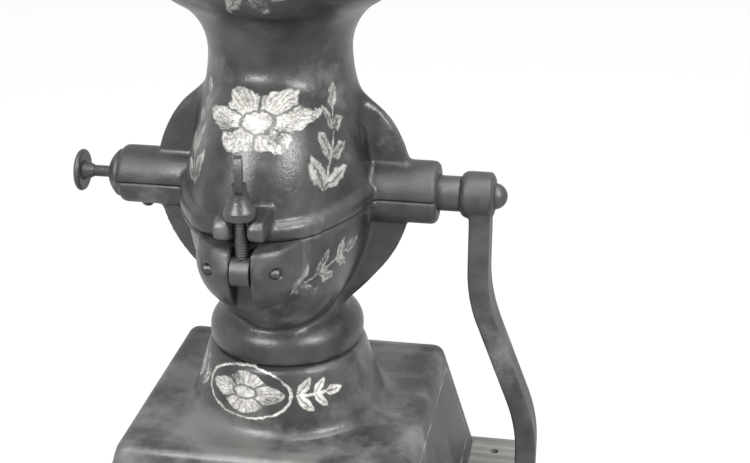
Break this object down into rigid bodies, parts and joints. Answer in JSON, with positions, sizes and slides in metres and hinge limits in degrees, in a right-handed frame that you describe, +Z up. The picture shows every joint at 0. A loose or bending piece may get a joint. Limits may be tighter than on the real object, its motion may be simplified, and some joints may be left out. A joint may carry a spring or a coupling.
{
  "type": "manual coffee grinder",
  "caption": "Side crank cast iron coffee mill on a wooden board: bell hopper, split round grinding case with latch and screw adjuster, flared base with a drawer.",
  "frame": {"origin": "on the underside of the wooden board, straight below the hopper axis", "axes": "+Z up, +X along the shaft towards the crank, -Y to the front with latch and drawer"},
  "size_m": [0.2836, 0.1794, 0.335],
  "materials": {
    "japanned_iron": "worn satin black",
    "bare_iron": "dark, handled",
    "steel": "dull",
    "tinned_sheet": "dull tin",
    "worn_wood": "grey, worn",
    "turned_wood": "dark, handled"
  },
  "bodies": {
    "frame": {"base_board": "worn_wood", "base_box": "japanned_iron", "base_screws": "steel", "lower_case": "japanned_iron", "case_screws": "steel", "upper_case": "japanned_iron", "hinge_pin": "steel", "latch_pin": "steel", "fixed_burr": "bare_iron", "burr_screws": "steel", "adjuster_bush": "japanned_iron", "bush_lock_screw": "bare_iron"},
    "thrust": {"thrust_button": "steel"},
    "screw": {"adjusting_screw": "bare_iron"},
    "crankshaft": {"shaft": "steel", "moving_burr": "bare_iron", "drive_pin": "steel", "feed_worm": "bare_iron", "crank_arm": "japanned_iron", "crank_nut": "bare_iron", "handle_pin": "steel", "handle_washer": "steel"},
    "grip": {"handle_grip": "turned_wood"},
    "drawer": {"drawer_tray": "tinned_sheet", "drawer_front": "japanned_iron", "drawer_knob": "bare_iron", "knob_screw": "steel"},
    "latch": {"latch_bolt": "bare_iron"},
    "nut": {"thumb_nut": "japanned_iron"}
  },
  "joints": [
    {"name": "burr_adjust", "type": "slide", "parent": "frame", "child": "thrust", "axis": [1, 0, 0], "range_m": [-0.001, 0.0015]},
    {"name": "adjuster_turn", "type": "hinge", "parent": "thrust", "child": "screw", "pos_m": [-0.1, 0, 0.2005], "axis": [1, 0, 0], "range_deg": [-284, 426]},
    {"name": "crank_turn", "type": "hinge", "parent": "thrust", "child": "crankshaft", "pos_m": [0, 0, 0.2005], "axis": [1, 0, 0], "continuous": true},
    {"name": "grip_turn", "type": "hinge", "parent": "crankshaft", "child": "grip", "pos_m": [0.15, 0, 0.0405], "axis": [1, 0, 0], "continuous": true},
    {"name": "drawer_slide", "type": "slide", "parent": "frame", "child": "drawer", "axis": [0, -1, 0], "range_m": [0, 0.1]},
    {"name": "latch_swing", "type": "hinge", "parent": "frame", "child": "latch", "pos_m": [0, -0.081, 0.1905], "axis": [1, 0, 0], "range_deg": [0, 140]},
    {"name": "nut_turn", "type": "hinge", "parent": "latch", "child": "nut", "pos_m": [0, -0.081, 0.22], "axis": [0, 0, 1], "continuous": true}
  ],
  "couplings": [
    {"joint": "adjuster_turn", "follows": "burr_adjust", "rad_per_m": 4947.4}
  ]
}
